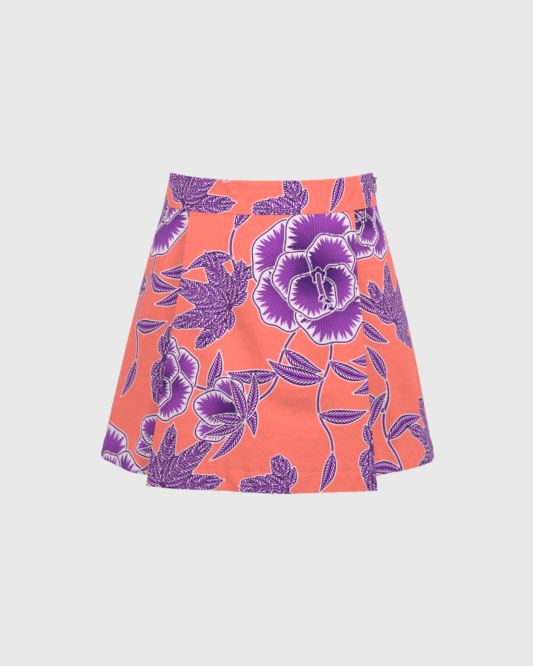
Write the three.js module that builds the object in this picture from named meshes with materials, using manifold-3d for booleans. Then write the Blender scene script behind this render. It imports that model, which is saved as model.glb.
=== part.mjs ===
// A pleated skort: an A-line mini skirt with a wide front panel folded under at both sides as a box pleat,
// a shaped waistband, a concealed side zip with a hinged pull tab, and plain shorts sewn in at the waist.
// It keeps the hollow form it has when worn. Millimetres, +Z up, the front faces -Y, the zip is on +X, and
// the origin is the middle of the waist, half way up the waistband at the side seams.
import * as THREE from 'three';
import { mergeVertices } from 'three/addons/utils/BufferGeometryUtils.js';
import Module from 'manifold-3d';

const wasm = await Module();
wasm.setup();

// ---- Driving dimensions -------------------------------------------------------------------------------

const CLOTH = 1.0; // one layer of the printed cotton
const GAP = 0.3; // between two pieces at a seam, and between pressed layers

// The outer form of the skirt, level by level: its middle, half its width, and its depth before and behind
// the side seams.
const FORM = [
  { z: 21, middle: 1.9, halfWidth: 123.6, front: 92, back: 92 },
  { z: -20, middle: 0.3, halfWidth: 131, front: 98, back: 97 },
  { z: -60, middle: 0.3, halfWidth: 143.4, front: 108, back: 108 },
  { z: -110, middle: 0.2, halfWidth: 157, front: 119, back: 122 },
  { z: -170, middle: -0.1, halfWidth: 172.2, front: 130, back: 134 },
  { z: -230, middle: -0.7, halfWidth: 185.8, front: 140, back: 143 },
  { z: -290, middle: -1.9, halfWidth: 198.4, front: 148, back: 149 },
  { z: -350, middle: -2.5, halfWidth: 211, front: 155, back: 154 },
];

// The waistband stands a little proud of the skirt, and its edges dip at the centre front and back.
const BAND = { height: 40, wall: 3.0, proud: 0.4, topAtSide: 20.5 };
const BAND_DIP = { front: 9.4, back: 12.5, power: 2.6 };

// The two folds of the front panel, as angles round the form from the centre front.
const FOLDS = [
  { z: -25, right: -46.4, left: 49.4 },
  { z: -90, right: -43.3, left: 42.6 },
  { z: -150, right: -42.9, left: 40.6 },
  { z: -220, right: -43.1, left: 39.0 },
  { z: -290, right: -43.4, left: 38.3 },
  { z: -350, right: -43.3, left: 37.5 },
];
const PLEAT = { turnUnder: 30, gapAtSeam: 0.3, gapAtHem: 2.0, proud: 0.3, blendOut: 45 };

// Hem heights round the form. The front panel is cut longer than the cloth under it.
const PANEL_HEM = [
  { angle: -48, z: -347.6 },
  { angle: -22, z: -346.0 },
  { angle: 0, z: -347.2 },
  { angle: 20, z: -348.6 },
  { angle: 40, z: -351.0 },
];
const SIDE_HEM = [
  { angle: 38, right: -337.5, left: -335.5 },
  { angle: 52, right: -335.0, left: -333.0 },
  { angle: 64, right: -331.0, left: -331.5 },
  { angle: 76, right: -328.0, left: -332.0 },
  { angle: 90, right: -327.5, left: -332.5 },
];
const HEM = { side: -330, centreBack: -335 };

// The shorts stand inside the skirt by an inset that grows on the way down.
const SHORTS_INSET = [
  { z: -20, inset: 0 },
  { z: -60, inset: 5 },
  { z: -110, inset: 10 },
  { z: -170, inset: 16 },
  { z: -230, inset: 24 },
  { z: -300, inset: 33 },
];
const SHORTS = { outer: 2.9, outerAtPleats: 3.6, hem: -300, crotchEnds: -200, crotchDip: 52, joinAngle: 40 };
const LEG = { centreX: 88, halfWidth: 82, halfDepth: 106 };

const ZIP = { chainWidth: 2.0, chainWall: 1.2, recess: 0.3, belowTop: 3, endsDown: 0.5, taper: 0.0625 };
const SLIDER = { at: 11, width: 5.4, length: 8, wall: 1.2, cheek: 0.8, pin: 0.45, pinUp: 2.2 };
const TAB = { length: 18, width: 3.0, tip: 1.8, wall: 0.8, eye: 1.3, eyeHole: 0.75 };

const ROWS = 8; // levels from the waist seam to the hem

// ---- Materials ----------------------------------------------------------------------------------------

const material = (color, roughness, metalness = 0) =>
  new THREE.MeshStandardMaterial({ color, roughness, metalness });
const PRINTED_COTTON = material(0xf87c6f, 0.8);
const SHORTS_COTTON = material(0xf2786c, 0.85);
const ZIP_COIL = material(0xd9a07c, 0.6);
const ZIP_METAL = material(0xb98a63, 0.35, 0.8);

// ---- The form -----------------------------------------------------------------------------------------

const radians = THREE.MathUtils.degToRad;
const lerp = THREE.MathUtils.lerp;
const smooth = THREE.MathUtils.smoothstep;

// A column of a table at a value of its key, with a smooth curve through its rows, and straight on beyond.
function read(table, key, column, at) {
  const rising = Math.sign(table[1][key] - table[0][key]);
  const last = table.length - 2;
  let i = table.findIndex((row) => rising * (row[key] - at) > 0) - 1;
  if (i < 0) i = rising * (at - table[0][key]) < 0 ? 0 : last;
  const slope = (k) => {
    const a = table[Math.max(k - 1, 0)];
    const b = table[Math.min(k + 1, table.length - 1)];
    return (b[column] - a[column]) / (b[key] - a[key]);
  };
  const [p, q] = [table[i], table[i + 1]];
  const h = q[key] - p[key];
  const u = (at - p[key]) / h;
  if (u < 0) return p[column] + u * h * slope(i);
  if (u > 1) return q[column] + (u - 1) * h * slope(i + 1);
  const ends = (1 + 2 * u) * (1 - u) ** 2 * p[column] + u * u * (3 - 2 * u) * q[column];
  return ends + h * u * (1 - u) * ((1 - u) * slope(i) - u * slope(i + 1));
}

// The form at an angle t, in radians from the centre front towards +X: a point, the outward normal, the
// tangent towards greater t, and the length of arc for each radian.
function onForm(t, z) {
  const a = read(FORM, 'z', 'halfWidth', z);
  const b = read(FORM, 'z', Math.cos(t) > 0 ? 'front' : 'back', z);
  const point = new THREE.Vector3(read(FORM, 'z', 'middle', z) + a * Math.sin(t), -b * Math.cos(t), z);
  const normal = new THREE.Vector3(Math.sin(t) / a, -Math.cos(t) / b, 0).normalize();
  const perRadian = Math.hypot(a * Math.cos(t), b * Math.sin(t));
  return { point, normal, tangent: new THREE.Vector3(-normal.y, normal.x, 0), perRadian };
}

// A station of a cloth: a point of its middle line, inward of the form, and the way its right side faces,
// turned from the outward normal by an angle towards greater t.
function station(t, z, inward, turned = 0) {
  const { point, normal, tangent } = onForm(t, z);
  const facing = normal.clone().multiplyScalar(Math.cos(turned)).addScaledVector(tangent, Math.sin(turned));
  return { centre: point.addScaledVector(normal, -inward), facing };
}

// How far the waistband's edges dip at an angle round the waist.
const dip = (t) =>
  (Math.cos(t) > 0 ? BAND_DIP.front : BAND_DIP.back) * (1 - Math.abs(Math.sin(t)) ** BAND_DIP.power);
const bandTop = (t) => BAND.topAtSide - dip(t);
const waistSeam = (t) => bandTop(t) - BAND.height;

// ---- Walls of cloth -----------------------------------------------------------------------------------

// A closed wall through a grid of stations, grid[row][column]. A null station is missing, and so are the
// cells that touch it. A round grid joins its last column to its first.
function wall(grid, thickness, round = false) {
  const columns = grid[0].length;
  const positions = [];
  const index = new Map();
  const vertex = (row, column, side) => {
    const key = (row * columns + (column % columns)) * 2 + side;
    if (!index.has(key)) {
      const { centre, facing } = grid[row][column % columns];
      const p = centre.clone().addScaledVector(facing, (side ? -1 : 1) * thickness / 2);
      index.set(key, positions.length / 3);
      positions.push(p.x, p.y, p.z);
    }
    return index.get(key);
  };
  const faces = [];
  const quad = (a, b, c, d) => faces.push(a, b, c, a, c, d);
  const edges = new Map();
  for (let row = 0; row + 1 < grid.length; row += 1) {
    for (let column = 0; column + (round ? 0 : 1) < columns; column += 1) {
      const corners = [[row + 1, column], [row + 1, column + 1], [row, column + 1], [row, column]];
      if (corners.some(([r, c]) => !grid[r][c % columns])) continue;
      quad(...corners.map(([r, c]) => vertex(r, c, 0)));
      quad(...corners.map(([r, c]) => vertex(r, c, 1)).reverse());
      corners.forEach(([r, c], k) => {
        const [r2, c2] = corners[(k + 1) % 4];
        edges.set(`${r},${c % columns}>${r2},${c2 % columns}`, [[r, c], [r2, c2]]);
      });
    }
  }
  for (const [key, [[r, c], [r2, c2]]] of edges) {
    if (edges.has(key.split('>').reverse().join('>'))) continue;
    quad(vertex(r2, c2, 0), vertex(r, c, 0), vertex(r, c, 1), vertex(r2, c2, 1));
  }
  const geometry = new THREE.BufferGeometry();
  geometry.setAttribute('position', new THREE.Float32BufferAttribute(positions, 3));
  geometry.setIndex(faces);
  geometry.computeVertexNormals();
  return geometry;
}

// Evenly spaced numbers, both ends included.
const steps = (from, to, count) => Array.from({ length: count + 1 }, (_, k) => lerp(from, to, k / count));

// A grid of stations from a function of the share down the cloth and the column.
const gridOf = (rows, columns, at) => steps(0, 1, rows).map((down) => columns.map((column) => at(down, column)));

const meshes = [];
function add(name, geometry, look) {
  const mesh = new THREE.Mesh(geometry, look);
  mesh.name = name;
  meshes.push(mesh);
  return mesh;
}

// ---- Side seams ---------------------------------------------------------------------------------------

// The angle at which a piece ends at a side seam, at a height and share of the way down the skirt. The
// zip's chain lies between the edges at +X, in the upper part of the seam.
function sideEdge(side, z, down, towardsFront) {
  const t = side * Math.PI / 2;
  const half = side > 0 && down <= ZIP.endsDown ? ZIP.chainWidth / 2 + GAP : GAP / 2;
  return t - side * (towardsFront ? 1 : -1) * half / onForm(t, z).perRadian;
}

// ---- Waistband ----------------------------------------------------------------------------------------

const bandMiddle = BAND.wall / 2 - BAND.proud;

// Half of the waistband, between the side seams. From -1 to 1 runs from one seam to the other.
function waistbandHalf(front) {
  const columns = steps(-1, 1, 24);
  return gridOf(2, columns, (down, across) => {
    const side = across < 0 ? -1 : 1;
    const edge = sideEdge(side, 0, 0, front);
    const t = front ? Math.abs(across) * edge : side * Math.PI - Math.abs(across) * (side * Math.PI - edge);
    return station(t, lerp(bandTop(t), waistSeam(t), down), bandMiddle);
  });
}

add('waistband_front', wall(waistbandHalf(true), BAND.wall), PRINTED_COTTON);
add('waistband_back', wall(waistbandHalf(false).map((row) => row.reverse()), BAND.wall), PRINTED_COTTON);

// ---- Front panel and its folds ------------------------------------------------------------------------

const foldAngle = (side, level) => radians(read(FOLDS, 'z', side < 0 ? 'right' : 'left', level));
const pleatGap = (down) => lerp(PLEAT.gapAtSeam, PLEAT.gapAtHem, down);
const levelOf = (down) => lerp(waistSeam(0), HEM.side, down);

// How deep the middle of each layer lies inward of the form: the face, the cloth turned under, and the
// side piece beneath both.
const FACE_DEPTH = CLOTH / 2 - PLEAT.proud;
const turnedDepth = (down) => FACE_DEPTH + CLOTH + pleatGap(down);
const underDepth = (down) => turnedDepth(down) + CLOTH + lerp(GAP, 1.2, down);

const panelHem = (t) => read(PANEL_HEM, 'angle', 'z', THREE.MathUtils.radToDeg(t));
const panelLevel = (down) => lerp(waistSeam(radians(45)), PANEL_HEM[0].z, down);

// The stations of one folded edge: round the fold and on to the edge of the cloth turned under.
const TURN_STEPS = 4;
function foldedEdge(side, down) {
  const fold = foldAngle(side, panelLevel(down));
  const { perRadian } = onForm(fold, panelLevel(down));
  const radius = (turnedDepth(down) - FACE_DEPTH) / 2;
  const place = (fromFold, inward, turned) => {
    const t = fold - side * fromFold / perRadian;
    return station(t, lerp(waistSeam(t) - GAP, panelHem(t), down), inward, turned);
  };
  const turn = steps(0, Math.PI, TURN_STEPS).map((angle) => {
    const fromFold = CLOTH / 2 + radius * (1 - Math.sin(angle));
    return place(fromFold, FACE_DEPTH + radius * (1 - Math.cos(angle)), side * angle);
  });
  const under = steps(CLOTH / 2 + radius, PLEAT.turnUnder, 4).slice(1);
  return [...turn, ...under.map((fromFold) => place(fromFold, turnedDepth(down), Math.PI))];
}

function frontPanel() {
  return steps(0, 1, ROWS).map((down) => {
    const left = foldedEdge(-1, down);
    const right = foldedEdge(1, down);
    const level = panelLevel(down);
    const clear = 3 / onForm(0, level).perRadian;
    const face = steps(foldAngle(-1, level) + clear, foldAngle(1, level) - clear, 24).map((t) =>
      station(t, lerp(waistSeam(t) - GAP, panelHem(t), down), FACE_DEPTH),
    );
    return [...left.reverse(), ...face, ...right];
  });
}

add('front_panel', wall(frontPanel(), CLOTH), PRINTED_COTTON);

// ---- Side and back pieces -----------------------------------------------------------------------------

const SIDE_DEPTH = CLOTH / 2;

// A side's hem, at an angle from the centre front.
const sideHem = (side, t) =>
  read(SIDE_HEM, 'angle', side < 0 ? 'right' : 'left', Math.min(THREE.MathUtils.radToDeg(Math.abs(t)), 90));

// A front side piece, from its edge under the pleat to the side seam. The wearer's left is +X.
function sideFront(side) {
  const columns = [...steps(0, 1, 3).slice(0, 3), ...steps(1, 2, 12)];
  return gridOf(ROWS, columns, (down, across) => {
    const level = levelOf(down);
    const fold = foldAngle(side, level);
    const { perRadian } = onForm(fold, level);
    const inner = fold - side * PLEAT.turnUnder / perRadian;
    const seam = sideEdge(side, level, down, true);
    const t = across < 1 ? lerp(inner, fold, across) : lerp(fold, seam, across - 1);
    const outward = side * (t - fold) * perRadian;
    const depth = lerp(underDepth(down), SIDE_DEPTH, smooth(outward, 4, PLEAT.blendOut));
    return station(t, lerp(waistSeam(t) - GAP, sideHem(side, t), down), depth);
  });
}

add('side_front_right', wall(sideFront(-1).map((row) => row.reverse()), CLOTH), PRINTED_COTTON);
add('side_front_left', wall(sideFront(1), CLOTH), PRINTED_COTTON);

// Soft flutes at the back hem, as outward offsets round the form.
const FLUTES = [
  { angle: 128, width: 16, out: 5 },
  { angle: 163, width: 14, out: -3 },
  { angle: 205, width: 18, out: 4 },
  { angle: 240, width: 15, out: -2.5 },
];
const bell = (x) => Math.exp(-x * x / 2);
function flute(t, down) {
  const angle = THREE.MathUtils.radToDeg(t);
  return down * down * FLUTES.reduce((sum, f) => sum + f.out * bell((angle - f.angle) / f.width), 0);
}

function backPanel() {
  return gridOf(ROWS, steps(0, 1, 28), (down, across) => {
    const level = levelOf(down);
    const [from, to] = [sideEdge(1, level, down, false), 2 * Math.PI + sideEdge(-1, level, down, false)];
    const t = lerp(from, to, across);
    const side = sideHem(Math.sin(t), Math.PI / 2);
    const hem = lerp(side, HEM.centreBack, smooth(-Math.cos(t), 0, 0.8));
    const inSeam = smooth(Math.abs(Math.cos(t)), 0, 0.3);
    return station(t, lerp(waistSeam(t) - GAP, hem, down), SIDE_DEPTH - flute(t, down) * inSeam);
  });
}

add('back_panel', wall(backPanel(), CLOTH), PRINTED_COTTON);

// ---- Shorts -------------------------------------------------------------------------------------------

// One leg with its half of the seat. Angles run from the centre front round the side to the centre back,
// then back between the legs, where the cloth starts at the crotch seam.
function shortsLeg(side) {
  const outer = steps(0, Math.PI, 22);
  const inner = steps(Math.PI, 2 * Math.PI, 10).slice(1, -1);
  const seatRows = 5;
  const legRows = 4;
  const join = radians(SHORTS.joinAngle);

  // The seat: on the skirt's form moved inward, and flat along the centre line between the legs.
  const seatPoint = (angle, z) => {
    if (angle > Math.PI) {
      const [front, back] = [seatPoint(0, z), seatPoint(Math.PI, z)];
      return front.lerp(back, (1 - Math.cos(angle)) / 2);
    }
    const pleats = 1 - smooth(angle, radians(58), radians(70));
    const { point, normal } = onForm(side * angle, z);
    const atSeam = lerp(SHORTS.outer, SHORTS.outerAtPleats, pleats) + CLOTH / 2;
    point.addScaledVector(normal, -atSeam - read(SHORTS_INSET, 'z', 'inset', z));
    const clear = (CLOTH + GAP) / 2;
    if (side * point.x < clear) point.x = side * clear;
    return point;
  };

  // The leg's hem: an oval, of which the outer angles take all but the stretch between the joins.
  const hemPoint = (angle) => {
    const onOval = angle <= Math.PI
      ? lerp(-join, Math.PI + join, angle / Math.PI)
      : lerp(Math.PI + join, 2 * Math.PI - join, (angle - Math.PI) / Math.PI);
    const x = LEG.centreX + LEG.halfWidth * Math.sin(onOval);
    return new THREE.Vector3(side * x, -LEG.halfDepth * Math.cos(onOval), SHORTS.hem);
  };

  const middle = (row, angle) => {
    if (row <= seatRows) {
      if (angle > Math.PI && row < seatRows) return null;
      const top = waistSeam(side * Math.min(angle, Math.PI)) - GAP;
      const dipped = angle > Math.PI ? SHORTS.crotchDip * Math.sin(angle - Math.PI) ** 0.7 : 0;
      const z = lerp(top, SHORTS.crotchEnds, row / seatRows);
      const p = seatPoint(angle, z);
      p.z = z - dipped;
      return p;
    }
    const down = (row - seatRows) / legRows;
    const hem = hemPoint(angle);
    const z = lerp(middle(seatRows, angle).z, hem.z, down);
    const p = seatPoint(angle, z).lerp(hem, smooth(down, 0, 1));
    p.z = z;
    return p;
  };

  const angles = [...outer, ...inner];
  const rows = Array.from({ length: seatRows + legRows + 1 }, (_, row) => row);
  const points = rows.map((row) => angles.map((angle) => middle(row, angle)));
  return points.map((line) =>
    line.map((centre, column) => {
      if (!centre) return null;
      const around = (step) => {
        const k = (column + step + line.length) % line.length;
        return line[k] || centre;
      };
      const along = around(1).clone().sub(around(-1));
      const facing = new THREE.Vector3(side * along.y, -side * along.x, 0).normalize();
      return { centre, facing };
    }),
  );
}

for (const [name, side] of [['shorts_right', -1], ['shorts_left', 1]]) {
  const grid = shortsLeg(side);
  add(name, wall(side < 0 ? grid.map((row) => row.slice().reverse()) : grid, CLOTH, true), SHORTS_COTTON);
}

// ---- Zip ----------------------------------------------------------------------------------------------

// The chain, a narrow strip between the edges of the side seam, tapered where they close below it.
function zipChain() {
  const top = BAND.topAtSide - ZIP.belowTop;
  const seam = (down) => lerp(waistSeam(Math.PI / 2), HEM.side, down);
  const rows = [
    { z: top, width: ZIP.chainWidth },
    { z: seam(0), width: ZIP.chainWidth },
    ...steps(0.125, ZIP.endsDown, 3).map((down) => ({ z: seam(down), width: ZIP.chainWidth })),
    { z: seam(ZIP.endsDown + ZIP.taper), width: ZIP.chainWidth / 2 },
  ];
  return rows.map(({ z, width }) =>
    [-1, 1].map((across) => {
      const t = Math.PI / 2 + across * width / 2 / onForm(Math.PI / 2, z).perRadian;
      return station(t, z, ZIP.recess + ZIP.chainWall / 2);
    }),
  );
}

add('zip_chain', wall(zipChain(), ZIP.chainWall), ZIP_COIL);

// Joins closed geometries into one solid.
function joined(...geometries) {
  const solids = geometries.map((geometry) => {
    const bare = geometry.index ? geometry.toNonIndexed() : geometry.clone();
    bare.deleteAttribute('normal');
    bare.deleteAttribute('uv');
    const merged = mergeVertices(bare, 1e-4);
    return new wasm.Manifold(new wasm.Mesh({
      numProp: 3,
      vertProperties: merged.attributes.position.array,
      triVerts: new Uint32Array(merged.index.array),
    }));
  });
  const mesh = solids.reduce((sum, solid) => sum.add(solid)).getMesh();
  const geometry = new THREE.BufferGeometry();
  geometry.setAttribute('position', new THREE.BufferAttribute(new Float32Array(mesh.vertProperties), 3));
  geometry.setIndex(new THREE.BufferAttribute(new Uint32Array(mesh.triVerts), 1));
  geometry.computeVertexNormals();
  return geometry;
}

const box = (sx, sy, sz, x, y, z) => new THREE.BoxGeometry(sx, sy, sz).translate(x, y, z);

// The slider and tab are made flat on the waistband's outer face: +X out of the cloth, +Z up along it.
const pinOut = GAP + SLIDER.wall + GAP + TAB.eye;

function sliderGeometry() {
  const body = box(SLIDER.wall, SLIDER.width, SLIDER.length, GAP + SLIDER.wall / 2, 0, 0);
  const tall = pinOut + SLIDER.pin + 0.4 - GAP;
  const cheeks = [-1, 1].map((side) =>
    box(tall, SLIDER.cheek, 2.4, GAP + tall / 2, side * (SLIDER.width - SLIDER.cheek) / 2, SLIDER.pinUp),
  );
  const pin = new THREE.CylinderGeometry(SLIDER.pin, SLIDER.pin, SLIDER.width - SLIDER.cheek, 16);
  return joined(body, ...cheeks, pin.translate(pinOut, 0, SLIDER.pinUp));
}

// The tab's eye turns on the pin, and its plate hangs below, narrowing to a round tip.
function tabGeometry() {
  const ring = new THREE.Shape().absarc(0, 0, TAB.eye, 0, 2 * Math.PI);
  ring.holes.push(new THREE.Path().absarc(0, 0, TAB.eyeHole, 0, 2 * Math.PI, true));
  const eye = new THREE.ExtrudeGeometry(ring, { depth: TAB.width, bevelEnabled: false, curveSegments: 10 });
  eye.translate(0, 0, -TAB.width / 2).rotateX(Math.PI / 2);

  const [top, tip] = [TAB.width / 2, TAB.tip / 2];
  const outline = new THREE.Shape();
  outline.moveTo(-top, -TAB.eyeHole - 0.25);
  outline.lineTo(top, -TAB.eyeHole - 0.25);
  outline.lineTo(tip, -TAB.length + tip);
  outline.absarc(0, -TAB.length + tip, tip, 0, Math.PI, true);
  outline.closePath();
  const flat = { depth: TAB.wall, bevelEnabled: false, curveSegments: 8 };
  const plate = new THREE.ExtrudeGeometry(outline, flat);
  plate.rotateX(Math.PI / 2).rotateZ(Math.PI / 2);
  plate.translate(-TAB.eye, 0, 0);
  return joined(eye, plate);
}

// The frame of the slider: on the waistband's outer face, leaning as the face does.
const zipSide = new THREE.Group();
const below = onForm(Math.PI / 2, SLIDER.at - 5).point.x;
const above = onForm(Math.PI / 2, SLIDER.at + 5).point.x;
zipSide.position.set(onForm(Math.PI / 2, SLIDER.at).point.x + BAND.proud, 0, SLIDER.at);
zipSide.rotation.y = -Math.atan2(below - above, 10);

const slider = add('zip_slider', sliderGeometry(), ZIP_METAL);
const tab = add('zip_pull_tab', tabGeometry(), ZIP_METAL);
tab.position.set(pinOut, 0, SLIDER.pinUp);
zipSide.add(slider, tab);

// ---- The skort ----------------------------------------------------------------------------------------

const skort = new THREE.Group();
skort.add(...meshes.filter((mesh) => mesh !== slider && mesh !== tab), zipSide);

export default skort;
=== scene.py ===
"""A pleated skort of printed cotton, filled out as it is worn: a wide front panel folded under at both
sides, side and back pieces, a shaped waistband with a side zip, and plain shorts inside. Lengths in the
functions are millimetres and turn into metres as each mesh is made. The front faces -Y, the zip is on +X,
and a side is -1 for the wearer's right or 1 for the left."""

import math

import bmesh
import bpy
import mathutils
import numpy as np
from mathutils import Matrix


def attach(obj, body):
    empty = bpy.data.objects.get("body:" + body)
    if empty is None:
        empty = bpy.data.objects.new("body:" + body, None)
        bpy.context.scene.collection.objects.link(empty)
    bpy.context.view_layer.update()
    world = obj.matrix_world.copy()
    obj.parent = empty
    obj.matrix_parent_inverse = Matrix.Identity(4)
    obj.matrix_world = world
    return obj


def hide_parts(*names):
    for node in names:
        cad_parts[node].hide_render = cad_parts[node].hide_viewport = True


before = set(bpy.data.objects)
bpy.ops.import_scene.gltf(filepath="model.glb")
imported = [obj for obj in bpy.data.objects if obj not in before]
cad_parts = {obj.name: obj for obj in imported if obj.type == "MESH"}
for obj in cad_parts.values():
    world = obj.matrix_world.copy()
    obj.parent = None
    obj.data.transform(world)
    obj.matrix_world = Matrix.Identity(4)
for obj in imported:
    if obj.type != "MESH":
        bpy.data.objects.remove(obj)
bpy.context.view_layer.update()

# ---- The form, as in the part ---------------------------------------------------------------------------


def table(columns, *rows):
    """Rows with named columns."""
    return [dict(zip(columns.split(), row)) for row in rows]


MM = 0.001
CLOTH = 1.0
GAP = 0.3
SHELL = 0.8  # how thick one layer of cloth is shown

FORM = table(
    "z middle half_width front back",
    (21, 1.9, 123.6, 92, 92),
    (-20, 0.3, 131, 98, 97),
    (-60, 0.3, 143.4, 108, 108),
    (-110, 0.2, 157, 119, 122),
    (-170, -0.1, 172.2, 130, 134),
    (-230, -0.7, 185.8, 140, 143),
    (-290, -1.9, 198.4, 148, 149),
    (-350, -2.5, 211, 155, 154),
)
BAND = dict(height=40.0, proud=0.4, top=20.5, dip_front=9.4, dip_back=12.5, power=2.6)
FOLDS = table(
    "z right left",
    (-25, -46.4, 49.4),
    (-90, -43.3, 42.6),
    (-150, -42.9, 40.6),
    (-220, -43.1, 39.0),
    (-290, -43.4, 38.3),
    (-350, -43.3, 37.5),
)
PLEAT = dict(under=30.0, gap_seam=0.3, gap_hem=2.0, proud=0.3, blend_out=45.0)
PANEL_HEM = table("angle z", (-48, -347.6), (-22, -346.0), (0, -347.2), (20, -348.6), (40, -351.0))
SIDE_HEM = table(
    "angle right left",
    (38, -337.5, -335.5),
    (52, -335.0, -333.0),
    (64, -331.0, -331.5),
    (76, -328.0, -332.0),
    (90, -327.5, -332.5),
)
HEM_SIDE, HEM_BACK = -330.0, -335.0
FLUTES = table("angle width out", (128, 16, 5.0), (163, 14, -3.0), (205, 18, 4.0), (240, 15, -2.5))


def read(rows, name, at):
    """A table's column at values of its first: a smooth curve through the rows, straight on beyond them."""
    keys, values = (np.array([row[c] for row in rows], float) for c in (next(iter(rows[0])), name))
    if keys[0] > keys[-1]:
        keys, values = keys[::-1], values[::-1]
    at, last, each = np.asarray(at, float), keys.size - 1, np.arange(keys.size)
    before, after = np.maximum(each - 1, 0), np.minimum(each + 1, last)
    slope = (values[after] - values[before]) / (keys[after] - keys[before])
    i = np.clip(np.searchsorted(keys, at, "right") - 1, 0, last - 1)
    h = keys[i + 1] - keys[i]
    u = (at - keys[i]) / h
    curve = (1 + 2 * u) * (1 - u) ** 2 * values[i] + u * u * (3 - 2 * u) * values[i + 1]
    curve += h * u * (1 - u) * ((1 - u) * slope[i] - u * slope[i + 1])
    under, over = values[i] + u * h * slope[i], values[i + 1] + (u - 1) * h * slope[i + 1]
    return np.where(u < 0, under, np.where(u > 1, over, curve))


def smooth(x, low, high):
    t = np.clip((x - low) / (high - low), 0, 1)
    return t * t * (3 - 2 * t)


def lerp(a, b, t):
    return a + (b - a) * t


def bell(x):
    return np.exp(-x * x / 2)


def turned_by(x, y, angle):
    """A point's places along and across a direction."""
    c, s = math.cos(angle), math.sin(angle)
    return x * c + y * s, y * c - x * s


def steps(count):
    """Even shares from 0 to 1."""
    return np.linspace(0, 1, count + 1)


def named(side):
    return "right" if side < 0 else "left"


def on_form(t, z):
    """The form at angles from the centre front and heights: points, outward normals, tangents, and the
    length of arc per radian."""
    t, z = np.broadcast_arrays(np.asarray(t, float), np.asarray(z, float))
    middle, a, front, back = (read(FORM, name, z) for name in ("middle", "half_width", "front", "back"))
    b = np.where(np.cos(t) > 0, front, back)
    point = np.stack([middle + a * np.sin(t), -b * np.cos(t), z], -1)
    normal = np.stack([np.sin(t) / a, -np.cos(t) / b, 0 * a], -1)
    normal /= np.linalg.norm(normal, axis=-1, keepdims=True)
    tangent = np.stack([-normal[..., 1], normal[..., 0], 0 * a], -1)
    return point, normal, tangent, np.hypot(a * np.cos(t), b * np.sin(t))


def band_top(t):
    dip = np.where(np.cos(t) > 0, BAND["dip_front"], BAND["dip_back"])
    return BAND["top"] - dip * (1 - np.abs(np.sin(t)) ** BAND["power"])


def waist_seam(t):
    return band_top(t) - BAND["height"]


def level_of(down):
    return lerp(float(waist_seam(0.0)), HEM_SIDE, down)


def fold_angle(side, level):
    return np.radians(read(FOLDS, named(side), level))


def panel_hem(t):
    return read(PANEL_HEM, "z", np.degrees(t))


def side_hem(side, t):
    return read(SIDE_HEM, named(side), np.minimum(np.degrees(np.abs(t)), 90))


# ---- Creases ----------------------------------------------------------------------------------------------

# Soft troughs and ridges in a piece's own cloth: across from its middle, down from the waist seam, the way
# the crease runs (90 is straight down), how long and wide it is, and how far it stands out.
CREASE_COLUMNS = "across down heading length width out"
CREASES = dict(
    front_panel=(
        (-79, 54, 82, 20, 7, -0.7), (-84, 130, 64, 26, 10, 1.1), (-64, 88, 72, 34, 14, -1.1),
        (-50, 137, 58, 28, 14, -2.5), (-14, 150, 64, 24, 10, 1.2), (-62, 194, 84, 26, 12, 2.0),
        (-22, 196, 78, 24, 9, -0.9), (34, 232, 10, 26, 9, -1.0), (-8, 212, 34, 18, 9, -0.6),
        (38, 202, 8, 34, 13, 0.7), (8, 96, 96, 46, 16, -1.0), (56, 128, 118, 40, 13, 0.9),
        (70, 172, 104, 42, 13, -0.8), (82, 262, 82, 48, 11, -1.4), (-104, 262, 96, 46, 12, 1.4),
        (14, 292, 84, 36, 15, 1.2), (-50, 311, 90, 12, 2.2, -0.7), (-34, 318, 66, 12, 3.4, 0.6),
        (-20, 316, 62, 12, 3.2, -0.5), (26, 322, 112, 11, 3.4, 0.55), (66, 320, 74, 12, 3.8, -0.55),
        (73, 7, 64, 8, 2.0, 0.7), (68, 9, 78, 8, 1.9, -0.6), (-22, 9, 84, 10, 3.0, -0.4),
    ),
    side_front_right=(
        (16, 96, 96, 46, 10, 1.8), (54, 236, 92, 66, 10, -1.5), (14, 216, 86, 70, 15, -1.4),
        (22, 250, 96, 44, 9, -1.2), (-30, 262, 92, 40, 9, 1.8),
    ),
    side_front_left=(
        (-4, 118, 4, 26, 3.0, -0.35), (-2, 106, 3, 28, 6, 0.4), (-45, 250, 88, 52, 14, -2.5),
        (-26, 236, 84, 34, 9, 1.2), (-54, 96, 90, 32, 10, -1.5), (-14, 236, 84, 64, 15, -2.0),
        (10, 200, 82, 56, 11, 1.8), (34, 262, 100, 40, 8, -1.6),
    ),
    back_panel=(
        (-96, 90, 98, 60, 14, -2.0), (-40, 190, 94, 76, 18, 2.2), (30, 70, 76, 46, 12, -1.6),
        (66, 220, 84, 70, 16, -2.2), (138, 150, 80, 66, 14, 2.0), (-168, 190, 102, 60, 13, 1.9),
        (-6, 150, 22, 34, 10, -1.2), (100, 300, 94, 30, 9, 1.4), (-120, 296, 86, 30, 9, -1.3),
    ),
    waistband_front=(
        (118, 20, 124, 9, 2.6, 0.5), (110, 24, 132, 8, 2.4, -0.45), (126, 28, 116, 7, 2.2, 0.35),
        (-60, 20, 94, 12, 9, -0.5), (-46, 12, 62, 10, 3.6, 0.42), (-37, 14, 66, 9, 3.4, -0.42),
        (-16, 14, 62, 12, 6, 0.4), (40, 22, 104, 12, 9, -0.4),
    ),
    waistband_back=(
        (-50, 22, 96, 10, 6, -0.5), (66, 18, 82, 10, 8, 0.45), (10, 24, 70, 12, 8, -0.4),
    ),
)
CREASES = {piece: table(CREASE_COLUMNS, *rows) for piece, rows in CREASES.items()}
CREASING = 2.9  # how much deeper than the table all the creases are
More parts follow.
